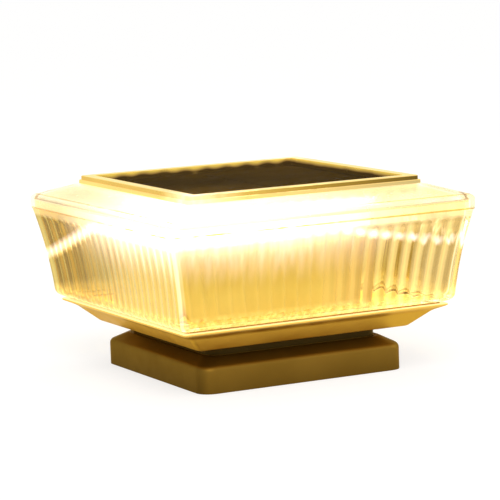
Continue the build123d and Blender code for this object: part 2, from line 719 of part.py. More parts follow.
def led_jumpers():
    """Three short leads under the flange that join each LED board to the next round a corner."""
    end = led_board_length / 2 - JUMPER_RADIUS
    reach = led_offset + LED_BOARD_WIDTH / 2 - JUMPER_RADIUS
    low = led_board_bottom - WIRE_DROP
    points = [(end, -reach, led_board_bottom), (end, -reach, low)]
    points += [(reach, -end, low), (reach, -end, led_board_bottom)]
    jumper = wire(points, JUMPER_RADIUS, WIRE_BEND)
    return Compound([Rot(0, 0, 90 * i) * jumper for i in range(3)])


PIECES = [
    base_plinth,
    mount_cup,
    base_pad,
    neck_ring,
    bottom_tray,
    spigot_seal,
    lower_gasket,
    fluted_lens,
    upper_gasket,
    top_cover,
    solar_frame,
    panel_tape,
    panel_backsheet,
    solar_cells,
    panel_glass,
    cover_foam,
    core_housing,
    led_carrier,
    chassis_plate,
    battery_cell,
    battery_holder,
    battery_contacts,
    battery_door,
    control_board,
    board_parts,
    switch_body,
    switch_plunger,
    power_button,
    tray_screws,
    cover_screws,
    board_screws,
    door_screws,
    panel_wires,
    battery_wires,
    led_wires,
    led_jumpers,
]

os.makedirs("parts", exist_ok=True)
for piece in PIECES:
    export_step(piece(), f"parts/{piece.__name__}.step")
for side in SIDES:
    export_step(led_board(side), f"parts/led_board_{side}.step")
    export_step(leds(side), f"parts/leds_{side}.step")
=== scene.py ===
import json
from functools import cached_property
from math import cos, pi, radians, sin, sqrt

import bpy
from mathutils import Matrix, Vector


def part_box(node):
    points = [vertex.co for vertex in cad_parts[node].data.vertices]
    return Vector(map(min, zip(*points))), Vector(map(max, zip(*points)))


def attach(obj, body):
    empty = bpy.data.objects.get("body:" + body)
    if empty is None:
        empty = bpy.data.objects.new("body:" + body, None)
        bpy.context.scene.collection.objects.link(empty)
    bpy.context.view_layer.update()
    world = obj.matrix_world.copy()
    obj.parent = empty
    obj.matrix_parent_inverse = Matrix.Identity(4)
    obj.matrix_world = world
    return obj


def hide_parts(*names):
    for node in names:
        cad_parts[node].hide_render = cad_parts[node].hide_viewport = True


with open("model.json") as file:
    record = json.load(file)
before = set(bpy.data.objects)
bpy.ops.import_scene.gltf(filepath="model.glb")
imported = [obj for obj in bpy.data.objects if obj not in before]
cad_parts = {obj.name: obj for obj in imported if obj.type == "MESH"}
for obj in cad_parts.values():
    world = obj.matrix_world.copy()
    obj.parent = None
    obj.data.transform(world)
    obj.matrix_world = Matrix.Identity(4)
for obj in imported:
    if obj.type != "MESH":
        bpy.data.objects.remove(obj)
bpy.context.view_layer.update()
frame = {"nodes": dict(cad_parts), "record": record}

# Lit solar fence light. Metres, +Z up, front face towards -Y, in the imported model's frame.
MM = 0.001
nodes = frame["nodes"]

# Driving sizes of the lens; what is not named here comes from the frame
HEAD_CORNER = 2.5 * MM
FLUTE_CORNER = 4.0 * MM
LENS_BOTTOM_HALF = 81.5 * MM
LENS_ROUND = 5.0 * MM
LENS_BOW = 0.9 * MM
LENS_WALL = 2.6 * MM
LENS_FLANGE = 2.4 * MM
LENS_FLANGE_WIDTH = 8.5 * MM
TONGUE_WALL = 1.4 * MM
FLUTES = 20
FLUTE_DEPTH = 1.3 * MM
FLUTE_FOOT = 4.0 * MM
FLUTE_HEAD = 3.0 * MM
FLUTE_END = 3.2 * MM
VALLEY_SOFTNESS = 1.4

# Driving sizes of the cover
COVER_WALL = 2.4 * MM
COVER_STEP = 1.0 * MM
SKIRT_TAPER = 0.4 * MM
RIM_ROUND = 3.2 * MM
RIM_TURN = 72.0
SHOULDER_RISE = 5.85 * MM
PLATEAU_MARGIN = 1.0 * MM
FOAM_LAP = 3.5 * MM
FOAM_MARGIN = 1.0 * MM
TONGUE_GAP = 1.0 * MM
FIT_CLEARANCE = 0.3 * MM

# Driving sizes of the tray
LIP_EDGE = 1.0 * MM
LIP_RISE = 2.7 * MM
LIP_RUN = 6.0 * MM
LIP_SEAT = 6.5 * MM
SLOPE_RUN = 10.0 * MM
TRAY_WALL = 2.2 * MM
DOOR_CLEARANCE = 1.0 * MM

# Rounded edges of the shells
EDGE = 0.35 * MM
RIM_EDGE = 0.75 * RIM_ROUND
FLOOR_EDGE = 1.0 * MM
SHOULDER_EDGE = 1.6 * MM
LIP_LOW_EDGE = 0.8 * MM
LIP_TOP_EDGE = 0.6 * MM
LONGEST_SHARE = 0.45  # of the straight beside it that a rounded edge may take

# Sampling of the shells
FLUTE_STEPS = 10
SIDE_STEPS = FLUTES * FLUTE_STEPS
PLAIN_STEPS = 4
CORNER_STEPS = 8
WALL_ROWS = 14
ROUND_ROWS = 8
LARGE_EDGE = 1.0 * MM
LARGE_STEPS = 6
SMALL_STEPS = 3
FLUTE_END_SHARES = (0.0, 0.06, 0.2, 0.45, 0.75)

# Driving sizes of the other pieces, for their looks
LED_PITCH = 9.0 * MM
# Pitch of the scallops of painted light on the frame's inner walls
LIGHT_SCALLOP_PITCH = 13.0 * MM
FINGER_PITCH = 2.4 * MM
BAR_PITCH = 19.7 * MM
FRAME_STEP_HEIGHT = 2.0 * MM
HIP_RISE = 4.5 * MM
GRAIN_DEPTH = 0.05 * MM
FLOW_DEPTH = 0.15 * MM
ROUGH_SPREAD = 0.06
HAZE_SPREAD = 0.03

lens_low, lens_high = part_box("fluted_lens")
cover_low, cover_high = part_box("top_cover")
tray_low, tray_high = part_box("bottom_tray")
frame_low, frame_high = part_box("solar_frame")
core_low, core_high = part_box("core_housing")
base_low, base_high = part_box("base_plinth")
glass_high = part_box("panel_glass")[1]
foam_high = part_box("cover_foam")[1]
door_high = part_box("battery_door")[1]
led_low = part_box("leds_front")[0]

hip_foot = base_high.z - HIP_RISE
seam = cover_low.z
lens_foot = lens_low.z
wall_start = lens_foot + LENS_ROUND
foot_half = LENS_BOTTOM_HALF - LENS_ROUND
flute_bottom = lens_foot + FLUTE_FOOT
flute_top = seam - FLUTE_HEAD


def add_object(name, data):
    obj = bpy.data.objects.new(name, data)
    bpy.context.scene.collection.objects.link(obj)
    return obj


def square_ring(half, z, corner, side_steps, bulge=None):
    """Points of a rounded square, anticlockwise from the front side; bulge(share) pushes a side inwards."""
    points = []
    run = half - corner
    for turn_cos, turn_sin in ((1, 0), (0, 1), (-1, 0), (0, -1)):
        flat = []
        for i in range(side_steps):
            share = i / side_steps
            inward = bulge(share) if bulge else 0.0
            flat.append(((2 * share - 1) * run, inward - half))
        for i in range(CORNER_STEPS):
            angle = radians(90 * i / CORNER_STEPS - 90)
            flat.append((run + corner * cos(angle), corner * sin(angle) - run))
        points += [(x * turn_cos - y * turn_sin, x * turn_sin + y * turn_cos, z) for x, y in flat]
    return points


def section_rings(section, corner, side_steps):
    """One ring for each (half width, z) of a section."""
    return [square_ring(half, z, corner, side_steps) for half, z in section]


def shell(name, rings):
    """Closed smooth skin through rings that run round a wall section and back to its start."""
    count = len(rings[0])
    vertices = [point for ring in rings for point in ring]
    faces = []
    for row in range(len(rings)):
        below = row * count
        above = (row + 1) % len(rings) * count
        for i in range(count):
            after = (i + 1) % count
            faces.append((below + i, below + after, above + after, above + i))
    mesh = bpy.data.meshes.new(name)
    mesh.from_pydata(vertices, [], faces)
    mesh.polygons.foreach_set("use_smooth", [True] * len(faces))
    obj = add_object(name, mesh)
    normals = obj.modifiers.new("normals", "WEIGHTED_NORMAL")
    normals.keep_sharp = True
    return obj


def rounded(corners):
    """Section outline with rounded corners, from (half width, z, rounding length) in order."""
    outline = []
    for i, (half, z, reach) in enumerate(corners):
        here = Vector((half, z))
        before = Vector(corners[i - 1][:2]) - here
        after = Vector(corners[(i + 1) % len(corners)][:2]) - here
        start = here + before.normalized() * min(reach, before.length * LONGEST_SHARE)
        end = here + after.normalized() * min(reach, after.length * LONGEST_SHARE)
        steps = LARGE_STEPS if reach > LARGE_EDGE else SMALL_STEPS
        for k in range(steps + 1):
            t = k / steps
            outline.append(start * (1 - t) ** 2 + here * 2 * t * (1 - t) + end * t ** 2)
    return outline


def lens_half(z):
    """Half width of the lens outside, above its rounded foot."""
    share = (z - wall_start) / (seam - wall_start)
    straight = LENS_BOTTOM_HALF + (lens_high.x - LENS_BOTTOM_HALF) * share
    return straight - LENS_BOW * 4 * share * (1 - share)


def valley_half(z):
    """Half width of the lens inside, in the valleys between its flutes."""
    return lens_half(z) - LENS_WALL


def flute_ring(z):
    """Inner ring of the lens: round-ended flutes at the top, valleys that run out at the bottom."""
    from_top = min(1.0, (flute_top - z) / FLUTE_END)
    from_bottom = min(1.0, (z - flute_bottom) / FLUTE_END)
    fade = 1 - (1 - from_top) ** 2
    fill = sqrt(1 - (1 - from_bottom) ** 2)
    half = valley_half(z) - FLUTE_DEPTH * (1 - fill)

    def bulge(share):
        across = 2 * (share * FLUTES % 1.0) - 1
        return FLUTE_DEPTH * fill * max(0.0, fade - across * across) ** VALLEY_SOFTNESS

    return square_ring(half, z, FLUTE_CORNER, SIDE_STEPS, bulge)


def build_lens():
    outside = []
    for i in range(ROUND_ROWS + 1):
        angle = radians(90 * i / ROUND_ROWS)
        outside.append((foot_half + LENS_ROUND * sin(angle), lens_foot + LENS_ROUND * (1 - cos(angle))))
    for i in range(1, WALL_ROWS + 1):
        z = wall_start + (seam - EDGE - wall_start) * i / WALL_ROWS
        outside.append((lens_half(z), z))
    top_half = valley_half(flute_top)
    tongue_half = top_half + TONGUE_WALL
    outside += [
        (lens_high.x - EDGE / 2, seam),
        (tongue_half + EDGE, seam),
        (tongue_half, seam + EDGE),
        (tongue_half, lens_high.z - EDGE),
        (tongue_half - EDGE, lens_high.z),
        (top_half + EDGE, lens_high.z),
        (top_half, lens_high.z - EDGE),
    ]
    ends = [FLUTE_END * share for share in FLUTE_END_SHARES]
    levels = [flute_top - end for end in ends]
    inner_span = flute_top - flute_bottom - 2 * FLUTE_END
    levels += [flute_top - FLUTE_END - inner_span * i / WALL_ROWS for i in range(WALL_ROWS + 1)]
    levels += [flute_bottom + end for end in reversed(ends)]
    crest_half = valley_half(flute_bottom) - FLUTE_DEPTH
    flange_half = foot_half - LENS_FLANGE_WIDTH
    flange_top = lens_foot + LENS_FLANGE
    foot = [
        (crest_half, flange_top + EDGE),
        (crest_half - EDGE, flange_top),
        (flange_half + EDGE, flange_top),
        (flange_half, flange_top - EDGE),
        (flange_half, lens_foot + EDGE),
        (flange_half + EDGE, lens_foot),
    ]
    rings = section_rings(outside, HEAD_CORNER, SIDE_STEPS)
    rings += [flute_ring(z) for z in levels]
    rings += section_rings(foot, FLUTE_CORNER, SIDE_STEPS)
    return shell("lens_shell", rings)


def build_cover():
    widest = cover_high.x
    shoulder_half = widest - RIM_ROUND * (1 - cos(radians(RIM_TURN)))
    shoulder_z = cover_high.z - SHOULDER_RISE
    plateau_half = frame_high.x + PLATEAU_MARGIN
    slope = SHOULDER_RISE / (shoulder_half - plateau_half)
    rim_z = shoulder_z - slope * (widest - shoulder_half)
    opening = foam_high.x - FOAM_LAP
    tongue_half = valley_half(flute_top) + TONGUE_WALL + FIT_CLEARANCE
    step_z = lens_high.z + TONGUE_GAP
    dome_half = valley_half(flute_top) - COVER_STEP
    ceiling = cover_high.z - COVER_WALL
    outline = rounded([
        (widest - SKIRT_TAPER, seam, EDGE),
        (widest, rim_z, RIM_EDGE),
        (plateau_half, cover_high.z, 2 * EDGE),
        (opening, cover_high.z, EDGE),
        (opening, ceiling, EDGE),
        (foam_high.x + FOAM_MARGIN, ceiling, 2 * EDGE),
        (dome_half, step_z, EDGE),
        (tongue_half, step_z, EDGE),
        (tongue_half, seam, EDGE),
    ])
    return shell("cover_shell", section_rings(outline, HEAD_CORNER, PLAIN_STEPS))


def build_tray():
    lip_low = tray_high.z - LIP_EDGE
    slope_top = lip_low - LIP_RISE
    shoulder = tray_high.x - LIP_RUN
    floor_half = shoulder - SLOPE_RUN
    floor_z = tray_low.z + TRAY_WALL
    service = door_high.x + DOOR_CLEARANCE
    outline = rounded([
        (floor_half, tray_low.z, FLOOR_EDGE),
        (shoulder, slope_top, SHOULDER_EDGE),
        (tray_high.x, lip_low, LIP_LOW_EDGE),
        (tray_high.x, tray_high.z, LIP_TOP_EDGE),
        (tray_high.x - LIP_SEAT, tray_high.z, EDGE),
        (floor_half - TRAY_WALL / 2, floor_z, EDGE),
        (service, floor_z, EDGE),
        (service, tray_low.z, EDGE),
    ])
    return shell("tray_shell", section_rings(outline, HEAD_CORNER, PLAIN_STEPS))


class Look:
    """A material under construction: one Principled shader fed by procedural maps in object space."""

    def __init__(self, name, **values):
        self.material = bpy.data.materials.new(name)
        self.material.use_nodes = True
        self.tree = self.material.node_tree
        self.shader = self.tree.nodes["Principled BSDF"]
        self.place = self.add("ShaderNodeTexCoord").outputs["Object"]
        self.x, self.y, self.z = self.split(self.place)
        for socket, value in values.items():
            self.shader.inputs[socket.replace("_", " ")].default_value = value

    def add(self, kind, **settings):
        node = self.tree.nodes.new(kind)
        for key, value in settings.items():
            setattr(node, key, value)
        return node

    def feed(self, node, socket, source):
        if hasattr(source, "is_output"):
            self.tree.links.new(source, node.inputs[socket])
        else:
            node.inputs[socket].default_value = source

    def set(self, socket, source):
        self.feed(self.shader, socket, source)

    def split(self, vector):
        node = self.add("ShaderNodeSeparateXYZ")
        self.feed(node, 0, vector)
        return node.outputs

    def math(self, operation, *sources):
        node = self.add("ShaderNodeMath", operation=operation)
        for i, source in enumerate(sources):
            self.feed(node, i, source)
        return node.outputs[0]

    def product(self, first, *others):
        for other in others:
            first = self.math("MULTIPLY", first, other)
        return first

    def total(self, first, *others):
        for other in others:
            first = self.math("ADD", first, other)
        return first

    def flip(self, source):
        """1 where the source is 0, and 0 where it is 1."""
        return self.math("SUBTRACT", 1.0, source)

    def distance(self, source, level):
        return self.math("ABSOLUTE", self.math("SUBTRACT", source, level))

    def wave(self, source, pitch):
        """Cosine that repeats at a pitch."""
        return self.math("COSINE", self.product(source, 2 * pi / pitch))

    def spread(self, source, low, high, to_low=0.0, to_high=1.0):
        """Range from low to high of the source, mapped evenly and cut off at both ends."""
        node = self.add("ShaderNodeMapRange")
        for socket, value in enumerate((source, low, high, to_low, to_high)):
            self.feed(node, socket, value)
        return node.outputs[0]

    def noise(self, scale, detail=3.0, stretch=None):
        place = self.place
        if stretch:
            mapping = self.add("ShaderNodeMapping")
            self.feed(mapping, "Vector", place)
            self.feed(mapping, "Scale", stretch)
            place = mapping.outputs[0]
        node = self.add("ShaderNodeTexNoise")
        self.feed(node, "Vector", place)
        self.feed(node, "Scale", scale)
        self.feed(node, "Detail", detail)
        return node.outputs[0]

    def clouds(self, scale, detail=3.0, low=0.0, high=1.0, stretch=None):
        """Soft noise over its full range."""
        return self.spread(self.noise(scale, detail, stretch), 0.3, 0.7, low, high)

    def patches(self, scale, start, end, low=0.0, high=1.0):
        """Noise cut to patches, with edges between two levels."""
        return self.spread(self.noise(scale, 2.0), start, end, low, high)

    @cached_property
    def reach(self):
        """Distance from the middle along X and along Y."""
        return self.math("ABSOLUTE", self.x), self.math("ABSOLUTE", self.y)

    @cached_property
    def along(self):
        """Distance along a side from its middle."""
        return self.math("MINIMUM", *self.reach)

    @cached_property
    def out(self):
        """Distance of a side from the axis."""
        return self.math("MAXIMUM", *self.reach)

    @cached_property
    def beside(self):
        """1 on the left and right sides, 0 on the front and back."""
        return self.math("GREATER_THAN", *self.reach)

    @cached_property
    def diagonal(self):
        """0 on the line between the two side corners, rising towards the front and back corners."""
        return self.math("ABSOLUTE", self.math("ADD", self.x, self.y))

    @cached_property
    def dim(self):
        """0 along the front and back corners of the head, rising evenly to 1 at the two side corners."""
        return self.flip(self.math("DIVIDE", self.diagonal, self.product(self.out, 2.0)))

    @property
    def colour(self):
        """Colour that feeds the shader so far."""
        return self.shader.inputs["Base Color"].links[0].from_socket

    def upward(self, low, high):
        """0 on walls, 1 on surfaces that face up."""
        normal = self.add("ShaderNodeNewGeometry").outputs["Normal"]
        return self.spread(self.split(normal)[2], low, high)

    def ramp(self, source, *stops):
        node = self.add("ShaderNodeValToRGB")
        elements = node.color_ramp.elements
        while len(elements) < len(stops):
            elements.new(0.5)
        for element, (position, colour) in zip(elements, stops):
            element.position = position
            element.color = (*colour, 1.0)
        self.feed(node, 0, source)
        return node.outputs[0]

    def blend(self, source, first, second):
        """First colour where the source is 0, second where it is 1."""
        node = self.add("ShaderNodeMix", data_type="RGBA")
        self.feed(node, 0, source)
        for socket, value in ((6, first), (7, second)):
            self.feed(node, socket, value if hasattr(value, "is_output") else (*value, 1.0))
        return node.outputs[2]

    def scaled(self, colour, gain):
        node = self.add("ShaderNodeVectorMath", operation="SCALE")
        self.feed(node, 0, colour)
        self.feed(node, "Scale", gain)
        return node.outputs[0]

    def bump(self, source, strength, depth):
        node = self.add("ShaderNodeBump")
        self.feed(node, "Strength", strength)
        self.feed(node, "Distance", depth)
        self.feed(node, "Height", source)
        self.set("Normal", node.outputs[0])

    def mottled(self, dark, light, scale, rough_low, rough_high, grain, strength):
        """Cloudy colour, uneven roughness and a fine moulded grain."""
        self.set("Base Color", self.blend(self.clouds(scale), dark, light))
        self.set("Roughness", self.clouds(scale * 3, low=rough_low, high=rough_high))
        self.bump(self.noise(grain, 2.0), strength, GRAIN_DEPTH)


def plain_look(name, dark, light, rough, scale=60.0, grain=1500.0, strength=0.12, **values):
    look = Look(name, **values)
    look.mottled(dark, light, scale, rough - ROUGH_SPREAD, rough + ROUGH_SPREAD, grain, strength)
    return look


def glow_look(name, base, strength, **values):
    """Matt white moulding that gives light."""
    look = Look(name, **values)
    look.mottled(tuple(c * 0.94 for c in base), base, 80.0, 0.45, 0.6, 1200.0, 0.05)
    look.set("Emission Strength", strength)
    return look


def clear_look(name, tint, rough, **values):
    """Clear moulding: tinted glass with faint flow marks and handling haze."""
    look = Look(name, Transmission_Weight=1.0, **values)
    deep = tuple(channel ** 1.12 for channel in tint)
    look.set("Base Color", look.blend(look.clouds(45.0, 2.0), deep, tint))
    look.set("Roughness", look.spread(look.noise(240.0, 4.0), 0.35, 0.75, rough, rough + HAZE_SPREAD))
    look.bump(look.noise(90.0, 2.0), 0.08, FLOW_DEPTH)
    return look


# Light in the lens; a pair of values is for its left and its right end
LENS_INDEX = 1.24
END_INDEX = 1.13
RAGGED = 3.0 * MM
VEIL_FOOT = 56.0 * MM
VEIL_FULL = 80.0 * MM
VEIL_LIFT = 2.0 * MM
VEIL_LIFT_START = 10.0 * MM
VEIL_LIFT_END = -70.0 * MM
VEIL_LIGHT = 0.6
STREAK_TOP = 83.0 * MM
STREAK_FALL = (23.0 * MM, 13.0 * MM)
STREAK_HALF = (3.8 * MM, 2.3 * MM)
STREAK_CORE = 0.3 * MM
STREAK_IN_VALLEY = (0.45, 0.1)
STREAK_LIGHT = 0.85
FLANK_LIGHT = 0.28
SIDE_FLANK_LIGHT = 0.03
SPARKLE_TOP = lens_foot + 8.0 * MM
SPARKLE_FULL = lens_foot + 2.0 * MM
SPARKLE_LIGHT = 0.45
VALLEY_LIGHT = 0.2
VALLEY_LINE_LIGHT = 0.035
SILL_END = lens_foot + 7.0 * MM
SILL_MIDDLE = lens_foot + 17.0 * MM
SILL_SOFTNESS = 1.5 * MM
SILL_LIGHT = 0.16
SEAM_LIGHT_FOOT = flute_top - 1.5 * MM
SEAM_LIGHT_FULL = flute_top + 0.5 * MM
SEAM_LIGHT = 0.28
RIB_SHADE = 0.13
AMBER_LIGHT = (1.0, 0.77, 0.32)
WHITE_LIGHT = (1.0, 0.84, 0.88)


def across_lens(look, left, right):
    """Value that changes evenly from the left end of the lens to its right end."""
    return look.spread(look.x, lens_low.x, lens_high.x, left, right)


def right_half(look, middle, right):
    """Value that changes evenly from the middle of the lens to its right end."""
    return look.spread(look.x, 0.0, lens_high.x, middle, right)


def flute_phase(look):
    """Angle that grows by a full turn from one valley between flutes to the next."""
    run_low = valley_half(flute_bottom) - FLUTE_CORNER
    run_high = valley_half(flute_top) - FLUTE_CORNER
    run = look.spread(look.z, flute_bottom, flute_top, run_low, run_high)
    return look.product(look.math("DIVIDE", look.along, run), pi * FLUTES)


def lens_colour(look, flank, far):
    """Amber tint as painted warm light, deepened by painted shade at the left end and paled by painted
    light at the right, with painted shade on one flank of each flute on the front and back.
    """
    tint = look.colour
    # Painted shade deepens the amber at the left end; painted light pales it at the right.
    left_shaded_tint = look.blend(look.beside, tint, (0.52, 0.36, 0.06))
    right_lit_tint = look.blend(look.beside, (0.78, 0.64, 0.34), (0.82, 0.68, 0.42))
    rightward = look.math("GREATER_THAN", look.x, 0.0)
    colour = look.blend(far, tint, look.blend(rightward, left_shaded_tint, right_lit_tint))
    # Painted shade on one flank of each flute, on the front and back.
    flank_shade = look.product(look.spread(flank, -0.1, -0.8), look.spread(look.dim, 0.48, 0.6))
    shade = look.product(RIB_SHADE, flank_shade, look.flip(look.beside))
    return look.scaled(colour, look.flip(shade))


def lens_veil(look, ragged):
    """Haze of light below the seam, with a ragged edge, that fades towards the side corners."""
    lift = look.spread(look.x, VEIL_LIFT_START, VEIL_LIFT_END, 0.0, -VEIL_LIFT)
    rise = look.spread(look.total(look.z, ragged, lift), VEIL_FOOT, VEIL_FULL)
    return look.product(VEIL_LIGHT, look.spread(look.dim, 0.8, 0.35), rise, rise)


def lens_streak(look, ragged, turns):
    """The LED row mirrored in the flutes, in an arch that falls towards the side corners."""
    fall = look.product(look.spread(look.dim, 0.55, 1.0), across_lens(look, *STREAK_FALL))
    arch = look.math("SUBTRACT", STREAK_TOP, fall)
    uneven = look.product(ragged, right_half(look, 0.0, 0.8))
    off_arch = look.distance(look.total(look.z, uneven), arch)
    crest = look.spread(turns, 1.0, -1.0, across_lens(look, *STREAK_IN_VALLEY), 1.0)
    patchy = look.patches(110.0, 0.4, 0.6, right_half(look, 1.0, 0.4))
    band = look.spread(off_arch, across_lens(look, *STREAK_HALF), STREAK_CORE)
    return look.product(STREAK_LIGHT, crest, patchy, band)


def lens_flanks(look, flank):
    """Light on one flank of each flute, towards the side corners."""
    strength = look.spread(look.beside, 0.0, 1.0, FLANK_LIGHT, SIDE_FLANK_LIGHT)
    return look.product(strength, look.spread(flank, 0.1, 0.8), look.spread(look.dim, 0.48, 0.8))


def lens_valleys(look, turns, clear):
    """Lines of light in the valleys between the flutes."""
    amber_side = look.math("SUBTRACT", look.beside, clear)
    wide = look.product(amber_side, VALLEY_LIGHT, look.spread(turns, 0.0, 0.7))
    fine = look.product(VALLEY_LINE_LIGHT, look.spread(turns, 0.7, 1.0))
    return look.total(wide, fine)


def lens_sill(look, turns, clear):
    """Glow of the tray through the foot of the clear ends."""
    top = look.spread(look.dim, 1.0, 0.6, SILL_END, SILL_MIDDLE)
    under = look.spread(look.math("SUBTRACT", look.z, top), SILL_SOFTNESS, -SILL_SOFTNESS)
    return look.product(SILL_LIGHT, clear, under, look.spread(turns, -0.6, 0.8))


def lens_look():
    """Lens tinted amber as painted warm light: veil of light near the seam, a painted reflection of the LED
    row in the flutes, sparkle at the foot.
    """
    # The amber tint is painted warm light from the LEDs.
    look = clear_look("lens_amber", (0.66, 0.54, 0.20), 0.03, IOR=LENS_INDEX, Specular_IOR_Level=0.1,
                      Specular_Tint=(1.0, 0.7, 0.25, 1.0))
    phase = flute_phase(look)
    turns = look.math("COSINE", phase)
    flank = look.math("SINE", phase)
    far = look.spread(look.dim, 0.45, 0.75)
    clear = look.product(look.beside, far)
    look.set("IOR", look.spread(clear, 0.0, 1.0, LENS_INDEX, END_INDEX))
    look.set("Base Color", lens_colour(look, flank, far))

    ragged = look.clouds(260.0, 2.0, -RAGGED, RAGGED, stretch=(1.0, 1.0, 0.05))
    veil = lens_veil(look, ragged)
    streak = lens_streak(look, ragged, turns)
    below_ends = look.spread(look.z, flute_top, flute_top - FLUTE_END)
    flanks = look.product(lens_flanks(look, flank), below_ends)
    valleys = look.product(lens_valleys(look, turns, clear), below_ends)
    sparkle = look.patches(420.0, 0.45, 0.62, 0.3)
    foot = look.product(SPARKLE_LIGHT, sparkle, look.spread(look.z, SPARKLE_TOP, SPARKLE_FULL))
    sill = lens_sill(look, turns, clear)
    seam_light = look.product(SEAM_LIGHT, look.spread(look.z, SEAM_LIGHT_FOOT, SEAM_LIGHT_FULL))
    at_corner = look.spread(look.math("DIVIDE", look.along, look.out), 0.976, 0.988)
    corner = look.product(look.spread(look.dim, 0.5, 0.1, 0.1, 0.4), at_corner)

    white_corner = look.product(corner, look.spread(look.dim, 0.5, 0.1))
    white = look.total(veil, streak, white_corner, look.product(seam_light, 0.35))
    glow = look.total(veil, streak, corner, flanks, foot, valleys, sill, seam_light)
    look.set("Emission Color", look.blend(look.math("DIVIDE", white, glow), AMBER_LIGHT, WHITE_LIGHT))
    look.set("Emission Strength", glow)
    return look


# Light in the cover
RIM_GLOW_START = cover_high.x - 8.0 * MM
RIM_GLOW_FULL = cover_high.x - 2.0 * MM
RIM_LINE = cover_high.x - 2.6 * MM
RIM_LINE_HALF = 0.8 * MM
RIM_LINE_CORE = 0.3 * MM
RIM_LINE_FOOT = lens_high.z + 1.5 * MM
SEAM_LINE_TOP = seam + 1.0 * MM
SEAM_LINE_FULL = seam + 0.4 * MM
FRAME_GLOW_START = frame_high.x + 3.5 * MM
FRAME_GLOW_FULL = frame_high.x + 1.0 * MM


def cover_look():
    """Clear cover that carries the light out to its rim, with broken amber lines along rim and seam."""
    look = clear_look("cover_clear", (0.97, 0.87, 0.64), 0.25, IOR=1.25, Specular_IOR_Level=0.2,
                      Specular_Tint=(1.0, 0.88, 0.6, 1.0))
    bright = look.spread(look.dim, 0.8, 0.3)
    at_seam = look.spread(look.z, SEAM_LINE_TOP, SEAM_LINE_FULL)
    over_step = look.math("GREATER_THAN", look.z, RIM_LINE_FOOT)
    from_rim = look.distance(look.out, RIM_LINE)
    at_rim = look.product(look.spread(from_rim, RIM_LINE_HALF, RIM_LINE_CORE), over_step)
    broken = look.math("MAXIMUM", look.patches(90.0, 0.45, 0.58), look.flip(bright))
    line = look.product(look.math("MAXIMUM", at_seam, at_rim), broken)
    amber = look.blend(bright, (0.85, 0.60, 0.20), (0.50, 0.28, 0.04))
    look.set("Base Color", look.blend(line, look.colour, amber))

    rim = look.spread(look.out, RIM_GLOW_START, RIM_GLOW_FULL)
    corner = look.spread(look.math("DIVIDE", look.along, look.out), 0.93, 0.98)
    near_frame = look.spread(look.out, FRAME_GLOW_START, FRAME_GLOW_FULL)
    shares = ((rim, 0.08), (bright, 0.25), (corner, 0.1), (near_frame, 0.25), (line, -0.3))
    glow = look.total(0.09, *[look.product(source, strength) for source, strength in shares])
    look.set("Emission Color", look.blend(bright, (1.0, 0.87, 0.58), (1.0, 0.94, 0.82)))
    look.set("Emission Strength", look.math("MAXIMUM", glow, 0.0))
    return look


# Light on the core and on the LED boards
CORE_WHITE_FOOT = 69.0 * MM
CORE_AMBER_FOOT = 48.0 * MM
CORE_AMBER_TOP = 66.0 * MM
CORE_LIT = core_low.z + 6.0 * MM
COLUMN_EDGE = core_high.x + 1.0 * MM
COLUMN_END = core_high.x + 4.0 * MM
BOARD_END = 50.0 * MM
BOARD_BRIGHT = 20.0 * MM


def core_look():
    """Reflector column: amber at its foot, white with pools of light below the LEDs."""
    look = glow_look("core_white", (0.62, 0.47, 0.22), 1.0)
    height = look.spread(look.z, CORE_WHITE_FOOT, led_low.z)
    stops = (
        (0.0, (0.89, 0.95, 0.61)),
        (0.2, (0.96, 0.92, 0.68)),
        (0.42, (1.0, 0.98, 0.92)),
        (1.0, (1.0, 0.98, 0.90)),
    )
    look.set("Emission Color", look.ramp(height, *stops))
    pools = look.total(1.0, look.product(height, height, look.wave(look.along, LED_PITCH), 0.3))
    steady = look.spread(look.z, CORE_AMBER_FOOT, CORE_AMBER_TOP, 0.66, 0.34)
    climb = look.spread(look.math("POWER", height, 1.7), 0.0, 0.4, steady, 3.6)
    column = look.spread(look.out, COLUMN_EDGE, COLUMN_END, 1.0, 0.2)
    side = look.spread(look.dim, 0.7, 1.0, 1.0, 0.45)
    lit = look.spread(look.z, core_low.z, CORE_LIT)
    look.set("Emission Strength", look.product(pools, climb, column, side, lit))
    return look


def board_look():
    """White LED board, brightest at its middle."""
    look = glow_look("led_board_white", (0.9, 0.86, 0.74), 1.0, Emission_Color=(1.0, 0.93, 0.72, 1.0))
    side = look.spread(look.dim, 0.65, 1.0, 1.0, 0.25)
    middle = look.spread(look.along, BOARD_END, BOARD_BRIGHT, 0.4, 2.5)
    look.set("Emission Strength", look.product(side, middle))
    return look


# Light on the panel frame
POCKET_WALL = glass_high.x + 0.6 * MM
GLINT_START = frame_low.y + 5.0 * MM
GLINT_FULL = frame_low.y + 2.0 * MM


